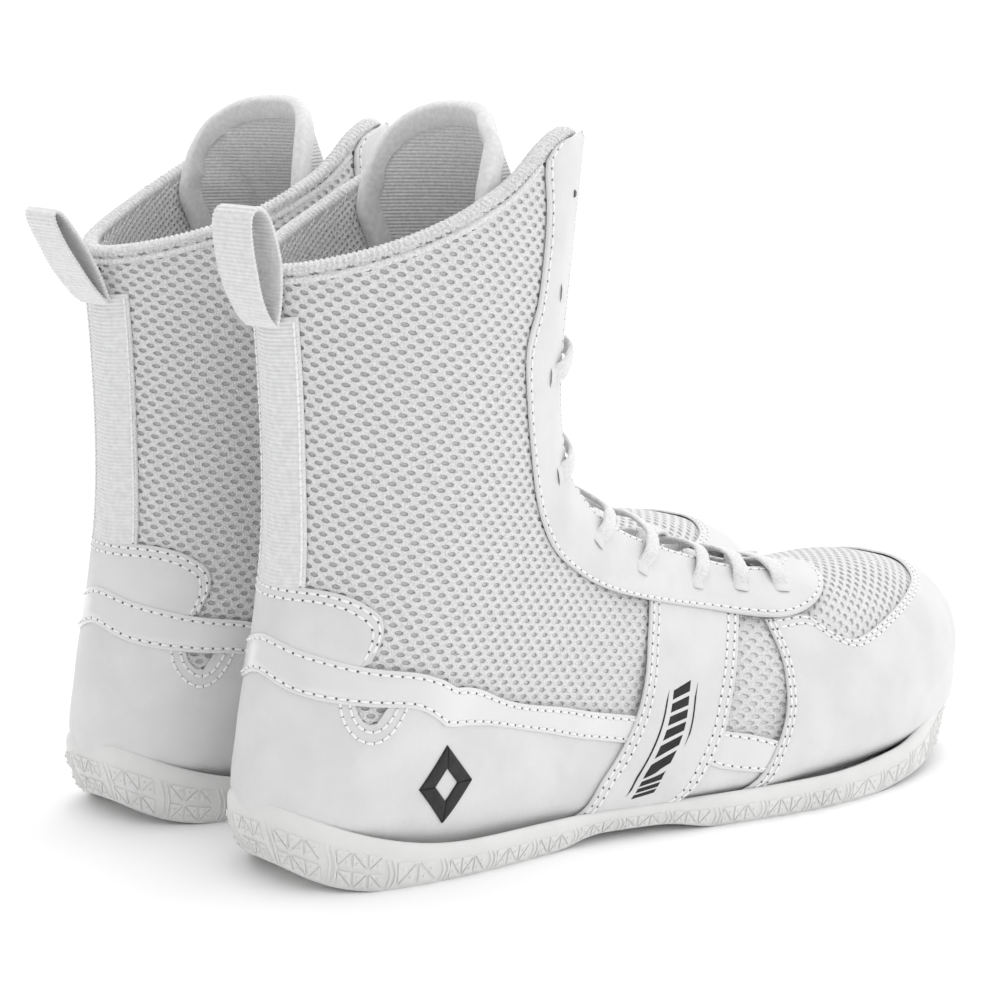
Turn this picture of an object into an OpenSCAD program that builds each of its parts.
// Boxing boots, a pair. One boot is described in its own directions: s runs forward from the back of the
// heel to the toe, w runs outward to the lateral side, and z is up. The left boot mirrors the right one.

/* [Pair] */
// Distance between the two heel centres
heel_gap = 87; // [84:1:140]
// Angle that each boot turns its toe outward
toe_out = 2.2; // [0:0.1:8]
// Place of the backs of the heels along Y
heel_y = 140.9; // [100:0.1:200]

/* [Upper] */
// Thickness of the knitted mesh
mesh_t = 0.9; // [0.6:0.1:1.2]
// Thickness of a synthetic leather overlay
overlay_t = 0.8; // [0.6:0.1:1]
// Air between one layer and the next
layer_gap = 0.6; // [0.5:0.1:0.6]
// Thickness of the fabric lining
lining_t = 1.2; // [0.8:0.1:1.4]
// Thickness of the tongue
tongue_t = 3.5; // [2.5:0.5:4]

/* [Sole] */
// Thickness of the rubber under the foot
rubber_t = 3.5; // [3:0.5:4]
// Height by which the waist stands off the floor
waist_lift = 3; // [0:0.5:4]
// Width of the sole wall's bulge beyond the upper
wall_out = 3.2; // [2.6:0.1:4]

/* [Ribbon and lace] */
// Width of the woven ribbon of the pull loop
ribbon_w = 20; // [16:1:24]
// Length of the pull loop from its stitching to its top
loop_len = 34; // [28:1:40]
// How far the right loop leans back
right_loop_lean = 12; // [0:1:30]
// How far the left loop leans back
left_loop_lean = 33; // [0:1:40]
// Width of the flat lace
lace_w = 6; // [4:0.5:7]
// Thickness of the flat lace
lace_t = 1.2; // [0.8:0.1:1.4]

/* [Hidden] */
PARTS = ["outsole", "midsole", "insole_board", "sock_liner", "heel_counter", "toe_puff",
    "quarter_lining_lateral", "quarter_lining_medial", "vamp_lining", "collar_padding",
    "collar_binding", "quarter_mesh_lateral", "quarter_mesh_medial", "vamp_mesh", "toe_cap",
    "heel_overlay", "heel_band", "heel_tab", "saddle_lateral", "saddle_medial",
    "eyestay_lateral", "eyestay_medial", "tongue_instep", "tongue_shaft", "tongue_binding",
    "back_strip", "pull_loop", "lace", "aglets", "heel_emblem"];

// Depth of each layer from the outer face of the mesh, inner face then outer face
mesh_layer = [-mesh_t, 0];
sunk_layer = [-0.8 - mesh_t, -0.8];
overlay_layer = [layer_gap, layer_gap + overlay_t];
trim_layer = [2 * layer_gap + overlay_t, 2 * layer_gap + overlay_t + 0.6];
stiff_layer = [-2.7, -1.9];
lining_layer = [-3.2 - lining_t, -3.2];
tongue_layer = [-6.5 - tongue_t, -6.5];

// Sections of the boot, from the collar down the shaft, round the heel and out to the toe. Each one spans
// from a point on the back or bottom to a point on the front or top:
// back s, back z, front s, front z, centre w, half width, place of the widest point, back and front bulge
SECTIONS = [
    [10, 184, 116, 216, 0, 36.5, 0.50, 1.75, 2.2],
    [13, 150, 109, 171, 0, 36.5, 0.50, 1.75, 2.3],
    [14, 120, 107, 140, 0, 36, 0.49, 1.75, 2.3],
    [13, 95, 111, 119, 0, 35.5, 0.46, 1.75, 2.2],
    [9, 70, 122, 106, 0, 35, 0.42, 1.75, 2.1],
    [3, 42, 135, 98, 0, 34.5, 0.37, 1.75, 2.1],
    [6.5, 16, 150, 91, 0, 34, 0.30, 2.2, 2.1],
    [42, 7, 166, 84, 0, 33, 0.24, 2.9, 2.1],
    [90, 7, 182, 78, 0.5, 31.5, 0.20, 3.6, 2.2],
    [140, 7, 200, 73, 4, 38.5, 0.20, 3.6, 2.2],
    [185, 7, 222, 71, 2.5, 46.5, 0.24, 3.4, 2.3],
    [225, 8, 250, 70, -0.5, 46.5, 0.30, 3.2, 2.3],
    [256, 10, 273, 64, -4, 39, 0.36, 2.8, 2.3],
    [277, 13, 287, 54, -6.5, 26, 0.42, 2.5, 2.2],
    [288, 18, 292, 40, -7, 0, 0.50, 2.3, 2.2],
    [277, 13, 287, 54, -6.5, -26, 0.42, 2.5, 2.2]];
toe_end = 14;
// The section whose back point lies at the height of the sole outline
outline_start = 5.83;
outline_z = 20;

// Height of the sole's lip, and of its lower edge, along the boot
LIP = [[0, 30], [12, 22], [30, 15], [50, 11], [100, 10], [200, 11], [235, 14], [258, 24],
    [280, 33], [292, 35]];
UNDER = [[0, 9], [6, 6], [14, 2], [26, 0], [95, 0], [106, waist_lift], [134, waist_lift],
    [148, 0], [215, 0], [240, 2], [265, 5], [285, 9], [292, 12]];
// Height of the underside of the foot
LAST = [[0, 12], [12, 9], [30, 7], [200, 7], [225, 8], [256, 10], [277, 13], [288, 17]];

// ---- curves and surfaces ----
function row(table, i) = i < 0 ? 2 * table[0] - table[1]
    : i > len(table) - 1 ? 2 * table[len(table) - 1] - table[len(table) - 2] : table[i];
function blend4(a, b, c, d, f) = 0.5 * (2 * b + (c - a) * f + (2 * a - 5 * b + 4 * c - d) * f * f
    + (3 * b - a - 3 * c + d) * f * f * f);
// A smooth curve through the rows of a table; x counts rows
function along(table, x) = let (i = min(max(floor(x), 0), len(table) - 2), f = x - i)
    blend4(row(table, i - 1), table[i], table[i + 1], row(table, i + 2), f);
// The same curve with x from 0 to 1
function run(table, x) = along(table, x * (len(table) - 1));

// The boot's outer face. t runs round a section: 0 at the back or bottom, 1 at the front or top on the
// lateral side, and from 1 to 2, or below 0, on the medial side.
function skin(u, t) = let (q = along(SECTIONS, u), turn = ((t % 2) + 2) % 2,
    side = turn <= 1 ? 1 : -1, half = turn <= 1 ? turn : 2 - turn,
    power = 2 / (half <= 0.5 ? q[7] : q[8]), reach = pow(abs(cos(180 * half)), power),
    f = half <= 0.5 ? q[6] * (1 - reach) : q[6] + (1 - q[6]) * reach)
    [q[0] + f * (q[2] - q[0]), q[4] + side * q[5] * pow(abs(sin(180 * half)), power),
    q[1] + f * (q[3] - q[1])];
function unit(v) = v / norm(v);
step = 0.004;
function out(u, t) = let (v = min(u, toe_end - step))
    -unit(cross(skin(v + step, t) - skin(v - step, t), skin(v, t + step) - skin(v, t - step)));
function off_skin(u, t, depth) = skin(u, t) + depth * out(u, t);

// The outline of the sole seen from above, k from 0 at the heel to 1 at the toe
function outline_u(k) = outline_start + (toe_end - outline_start) * k * k * (3 - 2 * k);
function outline_at(k, side) = let (q = along(SECTIONS, outline_u(k)),
    f = max(0, (outline_z - q[1]) / (q[3] - q[1])), g = min(1, f / q[6]))
    [q[0] + f * (q[2] - q[0]), q[4] + side * q[5] * pow(1 - pow(1 - g, q[7]), 1 / q[7])];
function outline_out(k, side) = let (a = outline_at(max(0, k - 0.01), side),
    b = outline_at(min(1, k + 0.01), side), d = b - a)
    k <= 0 ? [-1, 0] : k >= 1 ? [1, 0] : side * unit([-d[1], d[0]]);

// The right boot in the frame of the pair
function place(p) = [-heel_gap / 2 - p[0] * sin(toe_out) - p[1] * cos(toe_out),
    heel_y - p[0] * cos(toe_out) + p[1] * sin(toe_out), p[2]];

// ---- solids from grids of points ----
function quad(a, b, c, d) = [[a, b, c], [a, c, d]];
function join(lists) = [for (list = lists) for (item = list) item];
function flipped(faces) = [for (f = faces) [f[2], f[1], f[0]]];

// A sheet of even thickness between two grids of the same n by m cells
module sheet(outer, inner) {
    n = len(outer) - 1;
    m = len(outer[0]) - 1;
    half = (n + 1) * (m + 1);
    function o(i, j) = i * (m + 1) + j;
    function h(i, j) = half + o(i, j);
    polyhedron(points = [for (p = concat(join(outer), join(inner))) place(p)], faces = concat(
        join([for (i = [0:n - 1]) for (j = [0:m - 1]) concat(
            quad(o(i, j), o(i + 1, j), o(i + 1, j + 1), o(i, j + 1)),
            quad(h(i, j), h(i, j + 1), h(i + 1, j + 1), h(i + 1, j)))]),
        join([for (i = [0:n - 1]) concat(quad(o(i, 0), h(i, 0), h(i + 1, 0), o(i + 1, 0)),
            quad(o(i, m), o(i + 1, m), h(i + 1, m), h(i, m)))]),
        join([for (j = [0:m - 1]) concat(quad(o(0, j), o(0, j + 1), h(0, j + 1), h(0, j)),
            quad(o(n, j), h(n, j), h(n, j + 1), o(n, j + 1)))])));
}

// A panel of the upper between two edges, given as lists of [u, t], with n by m cells
module panel(edge_a, edge_b, n, m, layer) {
    function uv(i, j) = let (x = i / n, y = j / m) (1 - y) * run(edge_a, x) + y * run(edge_b, x);
    grids = [for (depth = [layer[1], layer[0]]) [for (i = [0:n]) [for (j = [0:m])
        let (p = uv(i, j)) off_skin(p[0], p[1], depth)]]];
    sheet(grids[0], grids[1]);
}
function other_side(edge) = [for (p = edge) [p[0], 2 - p[1]]];

// A panel that wraps round the toe. us lists its sections, low and high give its lower and upper t, and
// the two sides join along the top from the section numbered seam.
module toe_panel(us, low, high, m, seam, layer) {
    n = len(us) - 1;
    count = (n + 1) * (m + 1);
    function p(side, depth, i, j) = let (t = lookup(us[i], low)
        + (lookup(us[i], high) - lookup(us[i], low)) * j / m)
        off_skin(us[i], side > 0 ? t : 2 - t, depth);
    points = [for (depth = [layer[1], layer[0]]) for (side = [1, -1]) for (i = [0:n])
        for (j = [0:m]) place(p(side, depth, i, j))];
    function at(face, side, i, j) = face * 2 * count + i * (m + 1) + j
        + (side == 1 || i == n || (j == m && i >= seam) ? 0 : count);
    function cells(face, side) = join([for (i = [0:n - 1]) for (j = [0:m - 1])
        quad(at(face, side, i, j), at(face, side, i + 1, j), at(face, side, i + 1, j + 1),
            at(face, side, i, j + 1))]);
    function walls(side) = concat(
        join([for (i = [0:n - 1]) quad(at(0, side, i, 0), at(1, side, i, 0),
            at(1, side, i + 1, 0), at(0, side, i + 1, 0))]),
        join([for (i = [0:1:seam - 1]) quad(at(0, side, i, m), at(0, side, i + 1, m),
            at(1, side, i + 1, m), at(1, side, i, m))]),
        join([for (j = [0:m - 1]) quad(at(0, side, 0, j), at(0, side, 0, j + 1),
            at(1, side, 0, j + 1), at(1, side, 0, j))]));
    polyhedron(points = points, faces = concat(cells(0, 1), flipped(cells(0, -1)),
        flipped(cells(1, 1)), cells(1, -1), walls(1), flipped(walls(-1))));
}

// A solid built up from closed rings, with a flat ladder of faces across its first and last ring
module rings(loops) {
    n = len(loops[0]);
    last = len(loops) - 1;
    function at(r, i) = r * n + i % n;
    polyhedron(points = [for (p = join(loops)) place(p)], faces = concat(
        join([for (r = [0:last - 1]) for (i = [0:n - 1])
            quad(at(r, i), at(r, i + 1), at(r + 1, i + 1), at(r + 1, i))]),
        ladder([for (i = [0:n - 1]) at(0, n - 1 - i)]), ladder([for (i = [0:n - 1]) at(last, i)])));
}
// Faces across a ring whose points pair up side by side: point i with point n - 1 - i
function ladder(ring) = let (n = len(ring)) join([for (i = [0:n / 2 - 2])
    quad(ring[i], ring[i + 1], ring[n - 2 - i], ring[n - 1 - i])]);

// A ring round the foot at a distance beyond the sole outline; count points on each side
function foot_ring(count, distance, height) = [for (i = [0:2 * count - 1])
    let (side = i < count ? 1 : -1, j = i < count ? i : 2 * count - 1 - i,
        k = (j + 0.25) / (count - 0.5), p = outline_at(k, side), d = outline_out(k, side),
        s = p[0] + distance(p[0]) * d[0])
    [s, p[1] + distance(p[0]) * d[1], height(p[0])]];

// A tube with a flat or round section along a list of [centre, width direction]
module ribbon_tube(path, width, thickness, sides) {
    n = len(path) - 1;
    function ring(i) = let (ahead = unit(path[min(n, i + 1)][0] - path[max(0, i - 1)][0]),
        across = unit(path[i][1] - (path[i][1] * ahead) * ahead), up = cross(ahead, across))
        [for (a = [0:sides - 1]) let (angle = 360 * (a + 0.5) / sides)
            path[i][0] + across * width / 2 * cos(angle) + up * thickness / 2 * sin(angle)];
    points = join([for (i = [0:n]) ring(i)]);
    polyhedron(points = [for (p = points) place(p)], faces = concat(
        join([for (i = [0:n - 1]) for (a = [0:sides - 1]) quad(i * sides + a,
            (i + 1) * sides + a, (i + 1) * sides + (a + 1) % sides, i * sides + (a + 1) % sides)]),
        [for (a = [1:sides - 2]) [0, a, a + 1]],
        [for (a = [1:sides - 2]) [n * sides, n * sides + a + 1, n * sides + a]]));
}

// ---- sole ----
function end_share(s) = max(0, min(1, (26 - s) / 26)) + max(0, min(1, (s - 258) / 34));
function under(s) = lookup(s, UNDER);
function lip(s) = lookup(s, LIP);
function last_z(s) = lookup(s, LAST);
// Floor of the rubber cup
function floor_z(s) = max(last_z(s) - 7 + rubber_t, under(s) + 2);

module outsole() {
    wall = function(share) function(s) under(s) + share * (lip(s) - under(s));
    rings([
        foot_ring(30, function(s) -7, function(s) s < 200 && s > 30 ? under(s) : max(0, under(s) - 3)),
        foot_ring(30, function(s) 1.2 - 4 * end_share(s), wall(0)),
        foot_ring(30, function(s) 2.5 - 0.8 * end_share(s), wall(0.35)),
        foot_ring(30, function(s) wall_out, wall(0.75)),
        foot_ring(30, function(s) wall_out - 0.6, wall(1)),
        foot_ring(30, function(s) 1.7, wall(1)),
        foot_ring(30, function(s) -0.3, function(s) last_z(s) + 1),
        foot_ring(30, function(s) -6, function(s) floor_z(s))]);
}
module inner_sole(distance, low, high, count) {
    rings([foot_ring(count, function(s) distance, function(s) last_z(s) + low),
        foot_ring(count, function(s) distance, function(s) last_z(s) + high)]);
}
module midsole() rings([foot_ring(22, function(s) -9, function(s) floor_z(s) + 0.6),
    foot_ring(22, function(s) -9, function(s) last_z(s) - 0.4)]);
module insole_board() inner_sole(-9, 0, 1.6, 22);
module sock_liner() inner_sole(-10, 2, 4.6, 22);

// ---- upper: edges of the panels as [u, t] ----
// Outlines are laid out for a heel as square as the toe; this carries them to the rounder heel
heel_roundness = 1.75 / 2.1;
function round_t(t) = sign(t) * asin(pow(sin(180 * abs(t)), heel_roundness)) / 180;
function round_heel(edge) = [for (p = edge) [p[0], p[0] <= 5.3 && abs(p[1]) <= 0.4 ? round_t(p[1]) : p[1]]];
QUARTER_BACK = round_heel([[0.2, 0.01], [1, 0.01], [2, 0.01], [3, 0.02], [3.8, 0.05], [4.5, 0.16],
    [5.2, 0.4], [6.4, 0.53], [7.6, 0.52], [8.6, 0.47], [9.2, 0.42]]);
QUARTER_FRONT = [[0.1, 0.69], [1, 0.68], [1.7, 0.66], [2.7, 0.69], [3.5, 0.70], [4.2, 0.715],
    [5, 0.745], [6, 0.78], [7.4, 0.79], [8.5, 0.775], [9.2, 0.75]];
LINING_LOW = round_heel([[0.2, 0.01], [1, 0.01], [2, 0.01], [3, 0.01], [4, 0.01], [4.8, 0.02],
    [5.5, 0.10], [6.2, 0.25], [7.2, 0.26], [8, 0.24], [8.4, 0.24]]);
LINING_HIGH = [[0.1, 0.80], [1, 0.77], [1.7, 0.75], [2.6, 0.78], [3.4, 0.81], [4.2, 0.82],
    [5, 0.83], [6, 0.85], [7.2, 0.87], [8, 0.87], [8.4, 0.87]];
EYESTAY_SEAM = [[-0.05, 0.665], [0.9, 0.66], [1.4, 0.635], [1.7, 0.638], [2.7, 0.665],
    [3.9, 0.68], [4.9, 0.715], [6, 0.75], [7.2, 0.765], [8.4, 0.755], [9.3, 0.76], [9.65, 0.82],
    [9.75, 0.9]];
EYESTAY_FREE = [[-0.1, 0.82], [0.9, 0.79], [1.4, 0.765], [1.7, 0.765], [2.7, 0.80],
    [3.9, 0.83], [4.9, 0.845], [6, 0.87], [7.2, 0.885], [8.2, 0.885], [8.9, 0.91], [9.15, 0.96],
    [9.3, 0.985]];
SADDLE_BACK = [[6.7, 0.76], [7.5, 0.657], [7.98, 0.547], [8.12, 0.46], [8.12, 0.38]];
SADDLE_FRONT = [[8.4, 0.745], [8.72, 0.61], [8.88, 0.508], [8.87, 0.44], [8.84, 0.38]];
BAND_TOP = round_heel([[3.83, 0], [3.9, 0.13], [4.3, 0.33], [5.1, 0.503], [6.43, 0.595], [7.6, 0.588]]);
BAND_LOW = round_heel([[4.28, 0], [4.4, 0.16], [4.8, 0.35], [5.58, 0.51], [6.88, 0.56], [7.9, 0.54]]);
HEEL_TOP = round_heel([[4.05, 0], [4.15, 0.14], [4.55, 0.34], [5.3, 0.505], [6.6, 0.575], [7.9, 0.54]]);
HEEL_LOW = [[5.35, 0], [5.45, 0.095], [5.7, 0.19], [6.15, 0.27], [7, 0.26], [8, 0.25]];
TAB_TOP = round_heel([[3.25, 0], [3.25, 0.13], [3.45, 0.23], [3.62, 0.3]]);
TAB_LOW = round_heel([[3.72, 0], [3.78, 0.13], [3.95, 0.26], [4.12, 0.33]]);
TOE_LOW = [[8.5, 0.25], [9.3, 0.26], [10, 0.28], [10.6, 0.34], [11.3, 0.40], [12, 0.46], [13, 0.5],
    [14, 0.53]];
TOE_SEAM = [[9.3, 0.755], [9.62, 0.72], [9.9, 0.69], [10.12, 0.688], [10.6, 0.725],
    [11.33, 0.818], [11.55, 0.917], [11.7, 1], [14, 1]];
VAMP_SIDE = [[9.35, 0.72], [9.9, 0.66], [10.6, 0.70], [11.3, 0.79], [11.75, 0.9], [11.85, 0.96]];
// A full edge that crosses the middle, from the medial end to the lateral end
function both_ways(edge) = concat([for (i = [len(edge) - 1:-1:1]) [edge[i][0], -edge[i][1]]], edge);

module quarter_lining(side) {
    if (side > 0) panel(LINING_LOW, LINING_HIGH, 12, 8, lining_layer);
    else panel(other_side(LINING_HIGH), other_side(LINING_LOW), 12, 8, lining_layer);
}
module quarter_mesh(side) {
    if (side > 0) panel(QUARTER_BACK, QUARTER_FRONT, 16, 10, mesh_layer);
    else panel(other_side(QUARTER_FRONT), other_side(QUARTER_BACK), 16, 10, mesh_layer);
}
module eyestay(side) {
    if (side > 0) panel(EYESTAY_SEAM, EYESTAY_FREE, 18, 2, overlay_layer);
    else panel(other_side(EYESTAY_FREE), other_side(EYESTAY_SEAM), 18, 2, overlay_layer);
}
module saddle(side) {
    if (side > 0) panel(SADDLE_FRONT, SADDLE_BACK, 8, 3, trim_layer);
    else panel(other_side(SADDLE_BACK), other_side(SADDLE_FRONT), 8, 3, trim_layer);
}
module vamp_lining()
    toe_panel([8.5, 8.9, 9.2, 9.7, 10.3, 10.9, 11.5, 12, 12.4, 12.8, 13.2, 13.6, 14], TOE_LOW,
        [[8.5, 0.87], [8.9, 0.9], [9.2, 1], [14, 1]], 6, 2, lining_layer);
module toe_puff()
    toe_panel([12, 12.4, 12.8, 13.2, 13.6, 14], [[12, 0.52], [13, 0.57], [14, 0.62]],
        [[12, 1], [14, 1]], 6, 0, [-2.5, -1.9]);
module toe_cap()
    toe_panel([9.3, 9.62, 9.9, 10.2, 10.6, 11, 11.33, 11.55, 11.7, 12.1, 12.5, 12.9, 13.3, 13.65, 14],
        TOE_LOW, TOE_SEAM, 5, 8, overlay_layer);
module vamp_mesh() panel(VAMP_SIDE, other_side(VAMP_SIDE), 9, 12, sunk_layer);
module heel_overlay() panel(both_ways(HEEL_LOW), both_ways(HEEL_TOP), 24, 4, overlay_layer);
module heel_band() panel(both_ways(BAND_LOW), both_ways(BAND_TOP), 20, 2, trim_layer);
module heel_tab() panel(both_ways(TAB_LOW), both_ways(TAB_TOP), 10, 2, overlay_layer);
module heel_counter()
    panel(both_ways(round_heel([[5.5, 0], [5.7, 0.1], [6, 0.2], [6.6, 0.27]])),
        both_ways(round_heel([[4.6, 0], [4.85, 0.14], [5.3, 0.28], [6.0, 0.40]])), 20, 4, [-2.85, -2.1]);
module collar_padding()
    panel(both_ways(round_heel([[1.2, 0], [1.2, 0.2], [1.1, 0.4], [1, 0.6]])),
        both_ways(round_heel([[0.3, 0], [0.3, 0.2], [0.3, 0.4], [0.3, 0.6]])), 12, 2, stiff_layer);
strip_lift = 0.16;
module back_strip()
    panel(round_heel([[3.2, -0.1], [2, -0.09], [0.5, -0.09]]), round_heel([[3.2, 0.1], [2, 0.09], [0.5, 0.09]]),
        12, 2, [overlay_layer[0] + strip_lift, overlay_layer[1]]);
module heel_emblem()
    panel([[5.6, 0.46], [6.35, 0.425], [7.1, 0.42]], [[6.0, 0.515], [6.6, 0.49], [7.15, 0.465]],
        4, 3, trim_layer);

// Rolled edge round the collar, from the medial eyestay round the back to the lateral one
module collar_binding() {
    count = 28;
    ribbon_tube([for (i = [0:count]) let (t = 1.28 * (i / count - 0.5),
        u = 0.08 - 0.1 * pow(abs(t) / 0.64, 6))
        [off_skin(u, t, -2.1), out(u, t)]], 5.2, 5, 6);
}

// ---- tongue ----
hinge_z = 178;
hinge_s = 92;
module tongue_instep()
    panel([[9.3, 0.78], [8, 0.77], [6, 0.74], [4, 0.72], [2.4, 0.72], [0.95, 0.73]],
        [[9.3, 1.22], [8, 1.23], [6, 1.26], [4, 1.28], [2.4, 1.28], [0.95, 1.27]],
        14, 6, tongue_layer);
// The free top of the tongue: v from 0 at its hinge line to 1 at its top edge, h from -1 to 1 across
tongue_r = 29;
function tongue_top(h) = 226 - 32 * pow(abs(h), 2.6);
function tongue_at(v, h, depth) = let (angle = 92 * h, z = hinge_z + v * (tongue_top(h) - hinge_z),
    s = 103.5 - 0.44 * (z - hinge_z) + (1 - cos(angle)) * -tongue_r)
    [s + depth * cos(angle), (tongue_r + depth) * sin(angle), z];
module tongue_shaft() {
    grids = [for (depth = [0, -tongue_t]) [for (i = [0:7]) [for (j = [0:12])
        tongue_at(i / 7, 1 - j / 6, depth)]]];
    sheet(grids[0], grids[1]);
}
module tongue_binding() {
    count = 22;
    ribbon_tube([for (i = [0:count]) let (h = 2 * i / count - 1, p = tongue_at(1, h, -tongue_t / 2))
        [p + [0, 0, 2.1], [cos(92 * h), sin(92 * h), 0]]], tongue_t + 1.2, 3, 6);
}

// ---- lace ----
// The eyelets that hold the lace, from the vamp up to the shaft, as [u, t], and the free edge beside each
EYELETS = [[8.95, 0.84], [8.33, 0.83], [7.48, 0.82], [6.15, 0.81], [4.78, 0.785], [2.93, 0.735],
    [1.6, 0.70], [0.88, 0.72]];
EDGE_T = [0.91, 0.9, 0.895, 0.88, 0.86, 0.82, 0.785, 0.80];
under_eyestay = lining_layer[0] - lace_t / 2 - 0.3;
over_eyestay = overlay_layer[1] + lace_t / 2 + 0.3;
function on_side(side, t) = side > 0 ? t : 2 - t;
function held(u, t, depth) = [off_skin(u, t, depth), skin(u + 0.01, t) - skin(u - 0.01, t)];
// One crossing: up through eyelet k, over the edge, across the tongue and under the other side's edge
function crossing(k, side, rise) = let (e = EYELETS[k], n = EYELETS[k + 1])
    [held(e[0], on_side(side, e[1]), under_eyestay), held(e[0], on_side(side, e[1]), over_eyestay),
    held(e[0] - 0.08, on_side(side, EDGE_T[k]), over_eyestay),
    held((e[0] + n[0]) / 2, 1, rise),
    held(n[0], on_side(-side, EDGE_T[k + 1]), under_eyestay)];
function tail(side) = let (e = EYELETS[7]) [held(e[0], on_side(side, e[1]), under_eyestay),
    held(e[0] + 0.17, on_side(side, e[1] + 0.015), under_eyestay),
    held(e[0] + 0.36, on_side(side, e[1] + 0.025), under_eyestay)];
function reversed(list) = [for (i = [len(list) - 1:-1:0]) list[i]];
function lace_half(side, rise) = concat(join([for (k = [0:6])
    crossing(k, k % 2 == 0 ? side : -side, rise)]), tail(-side));
module lace() {
    bar = [held(9.02, 1.06, -3.6), held(9.02, 0.94, -3.6)];
    ribbon_tube(concat(reversed(lace_half(1, -4.6)), reversed(bar), lace_half(-1, -2.6)),
        lace_w, lace_t, 6);
}
module aglets() {
    for (side = [1, -1]) {
        a = off_skin(1.25, on_side(side, 0.745), under_eyestay - 0.5);
        b = off_skin(1.42, on_side(side, 0.745), under_eyestay - 0.5);
        ribbon_tube([[a, [0, 1, 0]], [b, [0, 1, 0]]], 1.8, 1.2, 6);
    }
}

// ---- pull loop ----
loop_base = [9.3, 0, 165.5];
loop_foot_d = 2;
bar_tack = 5;
loop_top_d = 9;
ribbon_thick = 1.5;
module teardrop(thinner) {
    hull() {
        translate([0, loop_foot_d / 2]) circle(d = loop_foot_d - thinner * loop_foot_d / 2, $fn = 24);
        translate([0, loop_len - loop_top_d / 2]) circle(d = loop_top_d - thinner * 2 * ribbon_thick, $fn = 48);
    }
}
module pull_loop(lean) {
    rotate([0, 0, -toe_out]) rotate([-lean, 0, 0]) rotate([90, 0, 90]) translate([0, 0, -ribbon_w / 2])
    linear_extrude(ribbon_w) difference() {
        teardrop(0);
        difference() {
            teardrop(1);
            translate([-loop_top_d / 2, 0]) square([loop_top_d, bar_tack]);
        }
    }
}

// ---- one boot ----
RUBBER = "whitesmoke";
LEATHER = "white";
module boot_part(part, lean) {
    if (part == "outsole") color(RUBBER) outsole();
    if (part == "midsole") color("gainsboro") midsole();
    if (part == "insole_board") color("tan") insole_board();
    if (part == "sock_liner") color("lightgray") sock_liner();
    if (part == "heel_counter") color("silver") heel_counter();
    if (part == "toe_puff") color("silver") toe_puff();
    if (part == "quarter_lining_lateral") color("lightgray") quarter_lining(1);
    if (part == "quarter_lining_medial") color("lightgray") quarter_lining(-1);
    if (part == "vamp_lining") color("lightgray") vamp_lining();
    if (part == "collar_padding") color("ivory") collar_padding();
    if (part == "collar_binding") color("gainsboro") collar_binding();
    if (part == "quarter_mesh_lateral") color("gainsboro") quarter_mesh(1);
    if (part == "quarter_mesh_medial") color("gainsboro") quarter_mesh(-1);
    if (part == "vamp_mesh") color("gainsboro") vamp_mesh();
    if (part == "toe_cap") color(LEATHER) toe_cap();
    if (part == "heel_overlay") color(LEATHER) heel_overlay();
    if (part == "heel_band") color(LEATHER) heel_band();
    if (part == "heel_tab") color(LEATHER) heel_tab();
    if (part == "saddle_lateral") color(LEATHER) saddle(1);
    if (part == "saddle_medial") color(LEATHER) saddle(-1);
    if (part == "eyestay_lateral") color(LEATHER) eyestay(1);
    if (part == "eyestay_medial") color(LEATHER) eyestay(-1);
    if (part == "tongue_instep") color("white") tongue_instep();
    if (part == "tongue_shaft") color("white") tongue_shaft();
    if (part == "tongue_binding") color("gainsboro") tongue_binding();
    if (part == "back_strip") color("white") back_strip();
    if (part == "pull_loop") color("white") translate(place(loop_base)) pull_loop(lean);
    if (part == "lace") color("white") lace();
    if (part == "aglets") color("white") aglets();
    if (part == "heel_emblem") color("black") heel_emblem();
}
for (part = PARTS) {
    boot_part(part, right_loop_lean);
    mirror([1, 0, 0]) boot_part(part, left_loop_lean);
}
